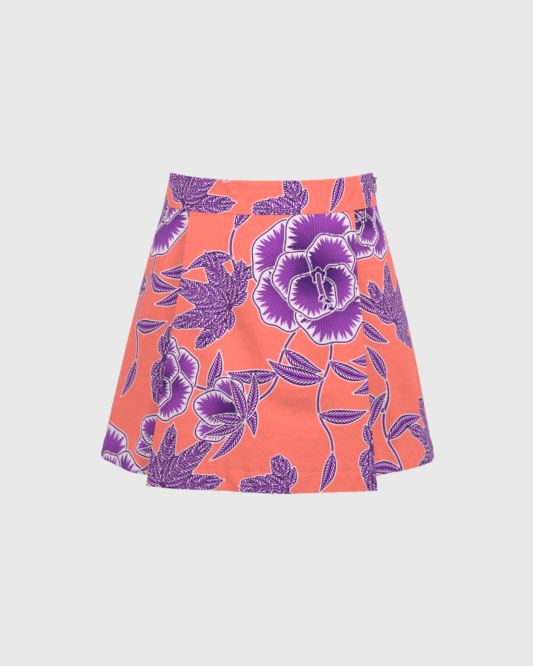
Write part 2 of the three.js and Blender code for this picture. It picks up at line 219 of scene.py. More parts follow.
# Where the front panel's edges stand forward: a share of the way down, how tall, and how far.
EDGE_LIFTS = table("side at tall out", (-1, 0.26, 0.2, 6.5), (-1, 0.7, 0.14, 2.4), (1, 0.74, 0.14, 2.4))
LIFT_REACH = 26.0  # how soon the lift dies away from the fold
# How far the hem is turned up inside, how much the doubled cloth stands out, its puckers, and its groove.
HEM = dict(turn=23.0, step=0.32, pucker=0.38, groove=0.25)


def crease(piece, across, down):
    out = np.zeros_like(across)
    for row in CREASES[piece]:
        along, off = turned_by(across - row["across"], down - row["down"], math.radians(row["heading"]))
        out += CREASING * row["out"] * bell(along / row["length"]) * bell(off / row["width"])
    return out


def turned_step(above_hem, turn, step):
    """How much the cloth stands out where it is doubled by a turned hem."""
    return step * smooth(above_hem, turn + 0.8, turn - 0.8)


def hem_relief(above_hem, along):
    """The doubled cloth of the hem, puckered, with a faint groove where it is caught down."""
    fine = np.sin(along / 1.9 + above_hem / 9) * np.sin(along / 23 + 1)
    broad = np.sin(along / 3.1 - above_hem / 12 + 2)
    puckers = HEM["pucker"] * (fine + broad) * bell((above_hem - HEM["turn"] * 0.6) / 8)
    groove = HEM["groove"] * bell((above_hem - HEM["turn"] - 0.6) / 0.9)
    return turned_step(above_hem, HEM["turn"], HEM["step"]) + puckers - groove


# ---- The print --------------------------------------------------------------------------------------------

# A repeat of double hibiscus, lobed leaves, strap leaves and vines in cloth millimetres, x to the right and y
# down. Each shape is a blade, on a circular arc, or a petal, round a centre. What is painted later covers
# what is earlier, with a pale line round it, or is one with it if it is merged.

REPEAT = (400.0, 372.0)
OUTLINE = 1.2  # the pale line left round every shape
MERGED = -0.7
LEAF, STEM, PETAL, HEART = 0.0, 1.0, 2.0, 3.0
VINE = 3.0  # how wide a stem is
BROAD_EARLY = 0.8  # under 1, a leaf is broadest before its middle
STRAIGHT = 1e-3


def on_blade(p, dx, dy):
    """How far inside a blade points are, and their places along it and across it."""
    h, length = p["heading"], p["size"]
    if abs(p["bend"]) < STRAIGHT:
        s, d = turned_by(dx, dy, h)
    else:
        r = length / p["bend"]
        cx, cy = dx + r * math.sin(h), dy - r * math.cos(h)
        start = h - math.copysign(math.pi / 2, r)
        turned = (np.arctan2(cy, cx) - start + math.pi) % (2 * math.pi) - math.pi
        s, d = r * turned, r - math.copysign(1, r) * np.hypot(cx, cy)
    share = np.clip(s / length, 0, 1)
    half = p["width"] * (1 if p["kind"] == STEM else np.sin(math.pi * share**BROAD_EARLY) ** p["blunt"])
    beyond = np.where((s < 0) | (s > length), np.abs(s - np.clip(s, 0, length)), 0)
    return 0.94 * (half - np.hypot(np.abs(d), beyond)), s, d


def on_petal(p, dx, dy):
    """How far inside a petal points are, and their places along it and across it from its centre."""
    a, b = turned_by(dx, dy, p["heading"])
    turn, away = np.arctan2(b, a), np.hypot(a, b)
    rim = 1 / np.sqrt(np.cos(turn) ** 2 + (np.sin(turn) / p["broad"]) ** 2)
    rim = rim * (1 + p["egg"] * np.cos(turn)) * (1 + p["ruffle"] * np.cos(p["scallops"] * turn + 1.0))
    return 0.96 * (p["size"] * rim - away), a, b


def blade(x, y, heading, length, width, bend=0.0, kind=LEAF, line=OUTLINE, blunt=1.1):
    return dict(
        form=on_blade, x=x, y=y, heading=math.radians(heading), size=length, width=width / 2,
        bend=math.radians(bend), kind=kind, line=line, blunt=blunt, reach=length + width,
    )


def petal(x, y, heading, radius, scallops, broad=1.0, egg=0.14, ruffle=0.045, kind=PETAL):
    return dict(
        form=on_petal, x=x, y=y, heading=math.radians(heading), size=radius, broad=broad, egg=egg,
        scallops=scallops, ruffle=ruffle, kind=kind, line=OUTLINE, reach=radius * 1.35,
    )


def on_arc(x, y, heading, length, bend, share):
    """The point and heading, in degrees, at a share of the way along an arc."""
    h, b = math.radians(heading), math.radians(bend)
    if abs(b) < STRAIGHT:
        return x + length * share * math.cos(h), y + length * share * math.sin(h), heading
    r, turned = length / b, h + b * share
    x, y = x + r * (math.sin(turned) - math.sin(h)), y - r * (math.cos(turned) - math.cos(h))
    return x, y, math.degrees(turned)


def lobe(x, y, heading, length, width, bend):
    """A leaf's lobe with a toothed edge: merged pairs of leaflets along a rib."""
    pairs = max(3, round(length / 14))
    shapes = []
    for i in range(pairs):
        share = 0.06 + 0.72 * i / (pairs - 1)
        size = width * (0.78 - 0.62 * share**1.5)
        px, py, ph = on_arc(x, y, heading, length, bend, share)
        for side in (-1, 1):
            turn = ph + side * (40 - 14 * share)
            shapes.append(blade(px, py, turn, size * 1.12, 12, -side * 14, line=MERGED, blunt=0.8))
    px, py, ph = on_arc(x, y, heading, length, bend, 0.66)
    shapes.append(blade(px, py, ph, length * 0.36, 10, bend * 0.3, line=MERGED, blunt=0.9))
    shapes.append(blade(x, y, heading, length * 0.8, 5.5, bend, line=MERGED, blunt=0.5))
    return shapes


def palm(x, y, heading, size, *lobes):
    """A leaf of several lobes. Each is its turn from the heading, and its share of the size."""
    shapes = []
    for turn, share in lobes:
        shapes += lobe(x, y, heading + turn, size * share, 34 * share**0.5, -turn * 0.22)
    return shapes


def bloom(x, y, heading, radius, tilt=0.86):
    """A double flower: five broad petals, four smaller over them, a dark heart and a column of stamens."""
    shapes = []
    for tier, turns in enumerate(((150, -150, 78, -78, 4), (116, -116, -30, 40))):
        for i, turn in enumerate(turns):
            a = math.radians(heading + turn)
            away = radius * (0.55, 0.3)[tier]
            size = radius * (0.47, 0.33)[tier] * (1.0, 1.08, 0.95)[i % 3]
            px, py = x + away * math.cos(a), y + away * tilt * math.sin(a)
            shapes.append(petal(px, py, heading + turn, size, 6 + i % 3, broad=1.12))
    shapes.append(petal(x, y, heading, radius * 0.1, 5, ruffle=0.16, egg=0, kind=HEART))
    column = heading + 20
    shapes.append(blade(x, y, column, radius * 0.5, radius * 0.06, -22, STEM))
    for share, side in ((0.6, 1), (0.75, -1), (0.88, 1), (1.0, -1)):
        px, py, ph = on_arc(x, y, column, radius * 0.5, -22, share)
        shapes.append(blade(px, py, ph + side * 52, radius * 0.1, radius * 0.045, 0, HEART, blunt=0.5))
    return shapes


def bud(x, y, heading, size):
    """Three folded petals out of a cup of narrow sepals."""
    shapes = []
    for turn, scale in ((-36, 0.84), (36, 0.84), (0, 1.0)):
        a, away = math.radians(heading + turn), size * 0.5
        px, py = x + away * math.cos(a), y + away * math.sin(a)
        shapes.append(petal(px, py, heading + turn, size * 0.44 * scale, 5, broad=0.74, egg=0.2))
    sepals = (-96, 1.0, 44), (96, 0.92, -44), (-56, 0.8, 26), (58, 0.86, -26), (-20, 0.6, 10)
    for turn, scale, bend in sepals:
        shapes.append(blade(x, y, heading + turn, size * scale, size * 0.2, bend))
    return shapes


def vine(x, y, heading, legs, leaves=()):
    """A stem through arcs, each a length and a bend, with a leaf at its end. A side leaf's place is its leg
    plus its share of it, with its turn from the stem, length, width and bend."""
    stems, shapes = [], []
    for leg, (length, bend) in enumerate(legs):
        for place, turn, size, width, curl in leaves:
            if int(place) == leg:
                px, py, ph = on_arc(x, y, heading, length, bend, place - leg)
                shapes.append(blade(px, py, ph + turn, size, width, curl))
        stems.append(blade(x, y, heading, length, VINE, bend, STEM, line=MERGED if leg else OUTLINE * 0.8))
        x, y, heading = on_arc(x, y, heading, length, bend, 1.0)
    return stems + shapes + [blade(x, y, heading, 50, 15, legs[-1][1] * 0.8)]


PRINT = [
    *vine(212, 160, 128, ((48, -34), (44, 60)),
          ((0.45, -62, 56, 16, -44), (1.05, 60, 62, 17, 50))),
    *vine(254, 160, 72, ((54, 46), (62, -66), (30, 40)),
          ((0.6, -58, 58, 17, -50), (1.0, 54, 74, 19, 52), (1.7, -56, 62, 17, -44))),
    *vine(300, 132, 34, ((44, 30), (40, 60)),
          ((0.75, -56, 58, 16, -40), (1.3, 60, 54, 16, 44))),
    *vine(136, 130, -64, ((56, -50), (40, 46)),
          ((0.6, 60, 56, 16, 40), (1.1, -58, 58, 17, -46))),
    *vine(88, 214, 36, ((40, -40), (30, 52)),
          ((0.7, -64, 48, 15, -40),)),
    *vine(16, 242, 78, ((50, 40), (40, -56)),
          ((0.5, 58, 56, 16, 42), (1.1, -56, 58, 16, -44))),
    *vine(34, 166, -76, ((52, -40), (56, 54), (30, -40)),
          ((0.4, -58, 58, 16, -40), (1.2, 60, 66, 18, 50), (1.8, -56, 52, 15, -40))),
    *vine(356, 206, -84, ((50, 40), (52, -50), (30, 30)),
          ((0.5, -58, 58, 17, -46), (1.1, 56, 58, 16, 44), (1.9, -56, 48, 15, -40))),
    *palm(136, 130, 206, 86, (-84, 0.7), (84, 0.66), (-42, 0.88), (42, 0.88), (0, 1.0)),
    *palm(310, 292, 8, 84, (-86, 0.72), (84, 0.66), (-44, 0.9), (42, 0.88), (0, 1.0)),
    *palm(60, 338, -42, 84, (-84, 0.7), (82, 0.72), (-42, 0.9), (42, 0.9), (0, 1.0)),
    *palm(212, 342, 184, 56, (-72, 0.76), (70, 0.74), (0, 1.0)),
    *bloom(238, 92, 62, 80),
    *bud(158, 262, 204, 62),
    *bloom(44, 208, 200, 54),
    *bud(356, 214, -36, 52),
    *bud(346, 22, -150, 52),
]
FAR = -40.0  # how far outside every shape bare cloth is taken to be


def paint(x, y):
    """The print at cloth points: [fill, extent, kind], [along, across, size] in the shape on top, and how far
    inside the shape's own rim."""
    shape = x.shape
    x, y = (x % REPEAT[0]).ravel(), (y % REPEAT[1]).ravel()
    order = np.argsort(y, kind="stable")
    x, y = x[order], y[order]
    fill, extent, near = (np.full(x.size, FAR) for _ in range(3))
    kind, along, across, size = (np.zeros(x.size) for _ in range(4))
    for p in PRINT:
        reach = p["reach"] + 5
        centres = [[p[axis] % REPEAT[i] + k * REPEAT[i] for k in (-1, 0, 1)] for i, axis in enumerate("xy")]
        for cy in centres[1]:
            slab = slice(*np.searchsorted(y, (cy - reach, cy + reach)))
            for cx in centres[0]:
                dx, dy = x[slab] - cx, y[slab] - cy
                at = np.nonzero(dx * dx + dy * dy < reach * reach)[0]
                if not at.size:
                    continue
                inside, a, b = p["form"](p, dx[at], dy[at])
                at, line = at + slab.start, p["line"]
                fill[at] = np.maximum(inside, np.minimum(fill[at], -inside - line))
                extent[at] = np.maximum(extent[at], inside + OUTLINE)
                top = (inside > -line / 2) | (inside > near[at])
                at, inside, a, b = at[top], inside[top], a[top], b[top]
                near[at], kind[at], along[at], across[at], size[at] = inside, p["kind"], a, b, p["size"]
    back = np.empty_like(order)
    back[order] = np.arange(order.size)
    fields = (fill, extent, kind), (along, across, size), (near, near, near)
    return [np.stack(three, -1)[back].reshape(*shape, 3) for three in fields]


# ---- Shells of cloth --------------------------------------------------------------------------------------

RIM = (np.s_[0], np.s_[-1, ::-1], np.s_[::-1, 0], np.s_[:, -1])  # the four edges of a grid, one way round
# How far above the waist a piece's flared sides would meet, and the point of the print at its top middle.
APEX = dict(front_panel=880, side_front_right=750, side_front_left=750, back_panel=450)
CUT_FROM = dict(
    front_panel=(188.0, 22.0), side_front_right=(268.0, 120.0), side_front_left=(62.0, 205.0),
    back_panel=(190.0, 268.0), waistband_front=(176.0, 306.0), waistband_back=(60.0, 120.0),
)
SLOPE = 1.02  # how much longer the flared cloth is than it is tall
SEWN = 14.0  # how far below the waist seam the cloth moves freely


def mesh_object(name, points, faces, smooth_angle=50):
    mesh = bpy.data.meshes.new(name)
    mesh.from_pydata((np.asarray(points, float) * MM).tolist(), [], faces)
    mesh.polygons.foreach_set("use_smooth", np.ones(len(mesh.polygons), bool))
    mesh.set_sharp_from_angle(angle=math.radians(smooth_angle))
    obj = bpy.data.objects.new(name, mesh)
    bpy.context.scene.collection.objects.link(obj)
    return obj


def attribute(obj, name, values):
    data = obj.data.attributes.new(name, "FLOAT_VECTOR", "POINT")
    data.data.foreach_set("vector", np.ascontiguousarray(values, np.float32).ravel())


def print_on(obj, name, across, down, two_layers=True):
    """The print's fields and the cloth coordinates as attributes, for a fine face and, if there are two
    layers, for a back with every second row and column."""
    origin = CUT_FROM[name]
    fields = zip(("ink", "motif", "rim"), paint(across + origin[0], down + origin[1]))
    for key, values in (*fields, ("cloth", np.stack([across, down, np.zeros_like(across)], -1))):
        layers = [values]
        if two_layers:
            layers.append(values[::2, ::2] + (0, 0, 1 if key == "cloth" else 0))
        attribute(obj, key, np.concatenate([layer.reshape(-1, 3) for layer in layers]))


def grid_faces(ids, flip=False):
    corners = [ids[1:, :-1], ids[1:, 1:], ids[:-1, 1:], ids[:-1, :-1]]
    return np.stack(corners[::-1] if flip else corners, -1).reshape(-1, 4).tolist()


def rim_faces(fine, coarse):
    """Faces along one edge, from every second point of the fine line to the coarse one."""
    fine, coarse = fine.tolist(), coarse.tolist()
    return [[*fine[2 * i : 2 * i + 3], coarse[i + 1], coarse[i]] for i in range(len(coarse) - 1)]


def shell(name, middle, facing, across, down):
    """A thin closed shell of printed cloth, with every second row and column of its face at its back."""
    outer = middle + facing * SHELL / 2
    inner = (middle - facing * SHELL / 2)[::2, ::2]
    fine = np.arange(outer[..., 0].size).reshape(outer.shape[:2])
    coarse = fine.size + np.arange(inner[..., 0].size).reshape(inner.shape[:2])
    faces = grid_faces(fine) + grid_faces(coarse, flip=True)
    for edge in RIM:
        faces += rim_faces(fine[edge], coarse[edge])
    obj = mesh_object(name + "_cloth", np.concatenate([outer.reshape(-1, 3), inner.reshape(-1, 3)]), faces)
    print_on(obj, name, across, down)
    return obj


def lengths_along(points, centre):
    """Lengths along the rows of a grid of points, from one of its columns."""
    step = np.linalg.norm(np.diff(points, axis=1), axis=-1)
    along = np.concatenate([np.zeros((points.shape[0], 1)), np.cumsum(step, axis=1)], axis=1)
    return along - along[:, centre : centre + 1]


def laid_flat(middle, radius, top, centre):
    """Cloth coordinates of a flared piece: along its rows from a column, and down, unrolled about an apex."""
    along = lengths_along(middle, centre)
    down = SLOPE * (top - middle[..., 2])
    turn = along / (radius + down)
    return (radius + down) * np.sin(turn), (radius + down) * np.cos(turn) - radius, along, down


def skirt_piece(name, middle, facing, above_hem, hold, hold_in=None, swing=None, centre=None, at=0.0):
    """A piece from its middle points, moved out by its creases and hem, but held still where it is sewn or
    layered. Its cloth is measured from a column and from the waist seam at an angle."""
    centre = middle.shape[1] // 2 if centre is None else centre
    x, y, along, down = laid_flat(middle, APEX[name], float(waist_seam(at)), centre)
    out = crease(name, along, down) + (swing(along) if swing else 0.0)
    out *= smooth(down - down[:1], 0, SEWN)
    out *= np.where(out < 0, hold if hold_in is None else hold_in, hold)
    return shell(name, middle + facing * (out + hem_relief(above_hem, along))[..., None], facing, x, y)


FACE_DEPTH = CLOTH / 2 - PLEAT["proud"]
FACE_CLEAR = 3.0  # how far inside its fold edges the panel's face begins


def turned_depth(down):
    return FACE_DEPTH + CLOTH + lerp(PLEAT["gap_seam"], PLEAT["gap_hem"], down)


def under_depth(down):
    return turned_depth(down) + CLOTH + lerp(GAP, 1.2, down)


def station(t, z, inward, turned):
    """Middle points inward of the form, and the way their right side faces, turned towards greater t."""
    point, normal, tangent, _ = on_form(t, z)
    turned = np.broadcast_to(turned, t.shape)[..., None]
    return point - normal * np.asarray(inward)[..., None], normal * np.cos(turned) + tangent * np.sin(turned)


def pleat(side, down, level, turn_steps=8, under_steps=16):
    """The panel's fold and the cloth folded under at a side, outwards from the face's edge: the angles, the
    depths inward of the form, and how far the cloth is turned over."""
    fold = fold_angle(side, level)
    radius = (turned_depth(down) - FACE_DEPTH) / 2
    angle = math.pi * steps(turn_steps)[None, :]
    from_fold = CLOTH / 2 + radius * (1 - np.sin(angle))
    inward = FACE_DEPTH + radius * (1 - np.cos(angle))
    flat = lerp(CLOTH / 2 + radius, PLEAT["under"], steps(under_steps)[None, 1:])
    from_fold = np.concatenate([from_fold, flat], 1)
    turned = np.concatenate([np.broadcast_to(side * angle, inward.shape), np.full(flat.shape, math.pi)], 1)
    inward = np.concatenate([inward, np.broadcast_to(turned_depth(down), flat.shape)], 1)
    return fold - side * from_fold / on_form(fold, level)[3], inward, turned


def front_panel(rows=224, face_steps=204):
    down = steps(rows)[:, None]
    level = lerp(float(waist_seam(math.radians(45))), PANEL_HEM[0]["z"], down)
    clear = FACE_CLEAR / on_form(0.0, level)[3]
    face = lerp(fold_angle(-1, level) + clear, fold_angle(1, level) - clear, steps(face_steps)[None, :])
    face = face, np.full(face.shape, FACE_DEPTH), np.zeros(face.shape)
    right = (values[:, ::-1] for values in pleat(-1, down, level))
    t, inward, turned = (np.concatenate(three, 1) for three in zip(right, face, pleat(1, down, level)))
    z = lerp(waist_seam(t) - GAP / 2, panel_hem(t), down)
    middle, facing = station(t, z, inward, turned)
    in_from_fold = np.minimum(t - fold_angle(-1, level), fold_angle(1, level) - t) * on_form(t, z)[3]
    for lift in EDGE_LIFTS:
        there = bell((down - lift["at"]) / lift["tall"]) * bell(in_from_fold / LIFT_REACH)
        middle[..., 1] -= lift["out"] * there * (lift["side"] * t > 0) * smooth(down, 0, 0.1)
    free = smooth(in_from_fold, 3, 24)
    over_pleat = smooth(in_from_fold, PLEAT["under"] - 2, PLEAT["under"] + 26)

    def swing(along):
        return 1.5 * np.sin(along / 26 + 0.6) * down**2 + 0.9 * np.sin(along / 13.5 + 2.0) * down**3

    centre = int(np.argmin(np.abs(t[-1])))
    return skirt_piece("front_panel", middle, facing, z - panel_hem(t), free, over_pleat, swing, centre)


def side_front(side, rows=212, under_steps=14, outer_steps=96):
    down = steps(rows)[:, None]
    level = level_of(down)
    fold = fold_angle(side, level)
    per_radian = on_form(fold, level)[3]
    seam = side_edge(side, level, down, True)
    under = lerp(fold - side * PLEAT["under"] / per_radian, fold, steps(under_steps)[None, :-1])
    t = np.concatenate([under, lerp(fold, seam, steps(outer_steps)[None, :])], 1)
    out = side * (t - fold) * per_radian
    depth = lerp(under_depth(down), CLOTH / 2, smooth(out, 4, PLEAT["blend_out"]))
    hem = side_hem(side, t)
    z = lerp(waist_seam(t) - GAP / 2, hem, down)
    middle, facing = station(t, z, depth, 0.0)
    by_seam = smooth(np.abs(seam - t) * per_radian, 0, 12)
    free = smooth(out, 6, 30) * by_seam
    if side < 0:
        middle, facing, z, hem, free, by_seam = (a[:, ::-1] for a in (middle, facing, z, hem, free, by_seam))

    def swing(along):
        return 1.6 * np.sin(along / 17 + side) * down**2 * free

    return skirt_piece("side_front_" + named(side), middle, facing, z - hem, free, by_seam, swing)


def flute(t, down):
    return down**2 * sum(row["out"] * bell((np.degrees(t) - row["angle"]) / row["width"]) for row in FLUTES)


def back_panel(rows=190, columns=356):
    down = steps(rows)[:, None]
    level = level_of(down)
    left, right = (side_edge(side, level, down, False) for side in (1, -1))
    t = lerp(left, 2 * math.pi + right, steps(columns)[None, :])
    ends = np.where(np.sin(t) < 0, side_hem(-1, math.pi / 2), side_hem(1, math.pi / 2))
    hem = lerp(ends, HEM_BACK, smooth(-np.cos(t), 0, 0.8))
    sewn, free = (smooth(np.abs(np.cos(t)), 0, clear) for clear in (0.3, 0.2))
    z = lerp(waist_seam(t) - GAP / 2, hem, down)
    middle, facing = station(t, z, CLOTH / 2 - flute(t, down) * sewn, 0.0)
    return skirt_piece("back_panel", middle, facing, z - hem, free, at=math.pi)


# The zip's opening narrows from the waistband to the skirt, and ends half way down the side seam.
ZIP = dict(half_band=1.15, half_skirt=0.55, ends=0.5, taper=0.03)


def side_edge(side, level, down, towards_front):
    """The angle at which a piece ends at a side seam."""
    closed = smooth(np.asarray(down, float), ZIP["ends"], ZIP["ends"] + ZIP["taper"])
    half = lerp(ZIP["half_skirt"], GAP / 2, closed) if side > 0 else np.full(np.shape(down), GAP / 2)
    t = side * math.pi / 2
    return t - side * (1 if towards_front else -1) * half / on_form(t, level)[3]


# ---- Waistband --------------------------------------------------------------------------------------------


def band_section():
    """The waistband's section: depth inward, and height above the seam. It is one strip folded over along
    the top, so the cloth goes up the face, over, and down the inside."""
    thick, edge = 2.9, 0.55
    over = thick / 2
    shoulder, quarter = BAND["height"] - over, math.pi / 2
    first, turn, last = np.linspace(0.15, quarter, 4), np.linspace(0, math.pi, 9), np.linspace(0, quarter, 4)
    rows = [(edge * (1 - math.sin(a)), edge * (1 - math.cos(a))) for a in first]
    rows += [(0.0, height) for height in np.linspace(edge, shoulder, 34)[1:]]
    rows += [(over * (1 - math.cos(a)), shoulder + over * math.sin(a)) for a in turn[1:]]
    rows += [(thick, height) for height in np.linspace(shoulder, edge, 18)[1:]]
    rows += [(thick - edge * (1 - math.cos(a)), edge * (1 - math.sin(a))) for a in last[1:]]
    return np.array(rows)


def waistband(front, columns=236):
    section = band_section()
    depth, height = section[:, :1], section[:, 1:]
    way = np.concatenate([[0], np.cumsum(np.linalg.norm(np.diff(section, axis=0), axis=1))])[:, None]
    per_radian = float(on_form(math.pi / 2, 0.0)[3])
    zip_gap, seam_gap = ZIP["half_band"] / per_radian, GAP / 2 / per_radian
    if front:
        ends = seam_gap - math.pi / 2, math.pi / 2 - zip_gap
    else:
        ends = math.pi / 2 + zip_gap, 3 * math.pi / 2 - seam_gap
    t = lerp(*ends, steps(columns)[None, :]) + 0 * depth
    point, normal, _, _ = on_form(t, waist_seam(t) + height)
    name = "waistband_front" if front else "waistband_back"
    along = lengths_along(point, columns // 2)
    on_face = smooth(depth, 0.5, 0.0) * smooth(height, 0, 8) * smooth(BAND["height"] - height, 0, 4)
    out = crease(name, along, BAND["height"] - height + 0 * along) * on_face
    outer = point + normal * (BAND["proud"] - depth + out)[..., None]
    ids = np.arange(outer[..., 0].size).reshape(outer.shape[:2])
    ids = np.concatenate([ids, ids[:1]], 0)
    faces = grid_faces(ids[::-1]) + [ids[:-1, 0].tolist(), ids[:-1, -1][::-1].tolist()]
    obj = mesh_object(name + "_cloth", outer.reshape(-1, 3), faces)
    print_on(obj, name, along, BAND["height"] - way + 0 * along, two_layers=False)
    return obj


# ---- Shorts -----------------------------------------------------------------------------------------------

SHORTS = dict(outer=2.9, at_pleats=3.6, hem=-300.0, crotch=-200.0, dip=52.0, join=40.0, turn=22.0, up=1.0)
LEG = dict(centre=88.0, half_width=82.0, half_depth=106.0)
INSETS = table("z inset", (-20, 0), (-60, 5), (-110, 10), (-170, 16), (-230, 24), (-300, 33))
# Creases: an angle, a share of the way down, how far the crease leans, how long and wide, and how far out.
DRAGS = table(
    "angle down lean length width out",
    (28, 0.52, 0.5, 0.16, 5, 1.6),
    (52, 0.66, -0.3, 0.2, 7, -1.4),
    (96, 0.6, 0.2, 0.3, 9, 1.5),
    (128, 0.78, -0.3, 0.22, 8, -1.7),
    (158, 0.5, -0.6, 0.18, 6, 1.8),
    (205, 0.8, 0.3, 0.18, 9, -1.5),
    (262, 0.74, 0.0, 0.2, 11, 1.5),
    (318, 0.84, -0.3, 0.16, 9, -1.4),
)


def seat_point(side, angle, z):
    """The seat: the skirt's form moved inward, and flat along the centre line between the legs."""
    round_side = np.minimum(angle, math.pi)
    point, normal, _, _ = on_form(side * round_side, z)
    pleats, seam = 1 - smooth(round_side, math.radians(58), math.radians(70)), waist_seam(side * round_side)
    inward = lerp(SHORTS["outer"], SHORTS["at_pleats"], pleats) + CLOTH / 2
    inward = inward + read(INSETS, "inset", z) - 0.35 * smooth(z, seam - 6, seam)
    point = point - normal * inward[..., None]
    point[..., 0] = side * np.maximum(side * point[..., 0], (CLOTH + GAP) / 2)
    return point


def shorts_middle(side, angle, row):
    """Points of one leg with its half of the seat; rows 0 to 1 are the seat and 1 to 2 the leg. Angles run
    from the centre front round the side to the centre back, then on between the legs."""
    between, half = angle > math.pi, angle / math.pi
    top = waist_seam(side * np.minimum(angle, math.pi)) + SHORTS["up"]
    dip = np.where(between, SHORTS["dip"] * np.abs(np.sin(np.maximum(angle, math.pi))) ** 0.7, 0.0)
    down = np.maximum(row - 1, 0)
    z = lerp(lerp(top, SHORTS["crotch"], np.minimum(row, 1)) - dip, SHORTS["hem"], down)
    front, back = (seat_point(side, np.full_like(angle, end), z) for end in (0, math.pi))
    inside = lerp(front, back, ((1 - np.cos(angle)) / 2)[..., None])
    point = np.where(between[..., None], inside, seat_point(side, angle, z))
    point[..., 2] = z
    join = math.radians(SHORTS["join"])
    inner_oval = lerp(math.pi + join, 2 * math.pi - join, half - 1)
    oval = np.where(between, inner_oval, lerp(-join, math.pi + join, half))
    across = side * (LEG["centre"] + LEG["half_width"] * np.sin(oval))
    hem = np.stack([across, -LEG["half_depth"] * np.cos(oval), z], -1)
    return lerp(point, hem, smooth(down, 0, 1)[..., None])


def shorts_relief(side, angle, row, above_hem):
    """How far the shorts' creases and turned hem stand out."""
    out = np.zeros_like(angle)
    for drag in DRAGS:
        below = row / 2 - drag["down"]
        x = np.degrees(angle) - drag["angle"] * (1 if side < 0 else 1.06) - drag["lean"] * 60 * below
        out += drag["out"] * bell(x / drag["width"]) * bell(below / drag["length"])
    out *= smooth(row, 0, 0.25) * smooth(np.abs(np.sin(angle / 2)), 0, 0.25)
    by_seam = lerp(1, smooth(math.pi - angle, 0, 0.3), row < 1.3)
    out *= np.where(angle > math.pi, smooth(row, 1.0, 1.3), by_seam)
    return out + turned_step(above_hem, SHORTS["turn"], 0.3)


def shorts(side, seat_rows=56, leg_rows=34, outer_steps=128, inner_steps=56):
    """A closed shell: the seat's rows run from centre front to centre back, and the leg's all round."""
    outer = np.linspace(0, math.pi, outer_steps + 1)
    inner = np.linspace(math.pi, 2 * math.pi, inner_steps + 1)[1:-1]
    row = np.concatenate([steps(seat_rows), np.linspace(1, 2, leg_rows + 1)[1:]])[:, None]
    angle = np.concatenate([outer, inner])[None, :] + 0 * row
    row = row + 0 * angle
    middle = shorts_middle(side, angle, row)
    ahead, behind = np.roll(middle, -1, axis=1), np.roll(middle, 1, axis=1)
    behind[: seat_rows + 1, 0] = middle[: seat_rows + 1, 0]
    ahead[:seat_rows, outer_steps] = middle[:seat_rows, outer_steps]
    along = ahead - behind
    facing = np.stack([side * along[..., 1], -side * along[..., 0], np.zeros_like(along[..., 0])], -1)
    facing /= np.maximum(np.linalg.norm(facing, axis=-1, keepdims=True), 1e-9)
    relief = shorts_relief(side, angle, row, middle[..., 2] - SHORTS["hem"])
    middle = middle + facing * relief[..., None]
    ids = np.arange(angle.size).reshape(angle.shape)
    leg = np.concatenate([ids, ids[:, :1]], 1)[seat_rows:]
    seat = ids[: seat_rows + 1, : outer_steps + 1]
    points, faces = [], []
    for layer, away in enumerate((SHELL / 2, -SHELL / 2)):
        points.append((middle + facing * away).reshape(-1, 3))
        flip = (layer == 1) != (side < 0)
        faces += grid_faces(leg + layer * ids.size, flip) + grid_faces(seat + layer * ids.size, flip)
    waist = [seat[::-1, 0], seat[0, 1:], seat[1:, -1], ids[seat_rows, outer_steps + 1 :], ids[seat_rows, :1]]
    for loop in (np.concatenate(waist), np.append(ids[-1, ::-1], ids[-1, -1])):
        for a, b in zip(loop, loop[1:]):
            quad = [a, b, b + ids.size, a + ids.size]
            faces.append(quad if side > 0 else quad[::-1])
    used = np.tile(((angle <= math.pi) | (row >= 1)).ravel(), 2)
    number = np.cumsum(used) - 1
    faces = [number[face].tolist() for face in faces]
    obj = mesh_object(f"shorts_{named(side)}_cloth", np.concatenate(points)[used], faces)
    cloth = np.stack([angle * 120, -middle[..., 2], np.zeros_like(angle)], -1).reshape(-1, 3)
    attribute(obj, "cloth", np.concatenate([cloth, cloth + (0, 0, 1)])[used])
    return obj


# ---- Zip --------------------------------------------------------------------------------------------------


def at_zip(across, z, inward):
    """Points at the side opening: across it towards the back, at a height, and inward of the form."""
    across, z, inward = np.broadcast_arrays(*(np.asarray(v, float) for v in (across, z, inward)))
    per_radian = on_form(math.pi / 2, z)[3]
    point, normal, _, _ = on_form(math.pi / 2 + across / per_radian, z)
    return point - normal * inward[..., None]


def blunted(values, power):
    """Sines or cosines that draw a rounded box instead of an oval."""
    return np.copysign(np.abs(values) ** power, values)


def pill(centre, half, rings=4, around=8):
    """A small smooth block, rounded at both ends: points and faces of a superellipsoid."""
    lat = np.linspace(-math.pi / 2, math.pi / 2, rings + 1)[1:-1, None]
    lon = np.linspace(0, 2 * math.pi, around, endpoint=False)[None, :]
    level, *flat = (blunted(values, 0.6) for values in (np.cos(lat), np.cos(lon), np.sin(lon)))
    rows = np.stack([level * flat[0], level * flat[1], blunted(np.sin(lat), 0.6) + 0 * lon], -1)
    points = np.concatenate([[(0, 0, -1)], rows.reshape(-1, 3), [(0, 0, 1)]]) * half
    faces, last = [], len(points) - 1
    for i in range(around):
        j = (i + 1) % around
        faces.append([0, 1 + j, 1 + i])
        faces.append([last, last - around + i, last - around + j])
        for a in range(1, 1 + (rings - 2) * around, around):
            faces.append([a + i, a + j, a + around + j, a + around + i])
    return points + centre, faces


CHAIN = dict(pitch=1.3, top=3.2, ends=-176.0, tape=8.0, tape_wall=0.4)  # its top is below the band's top


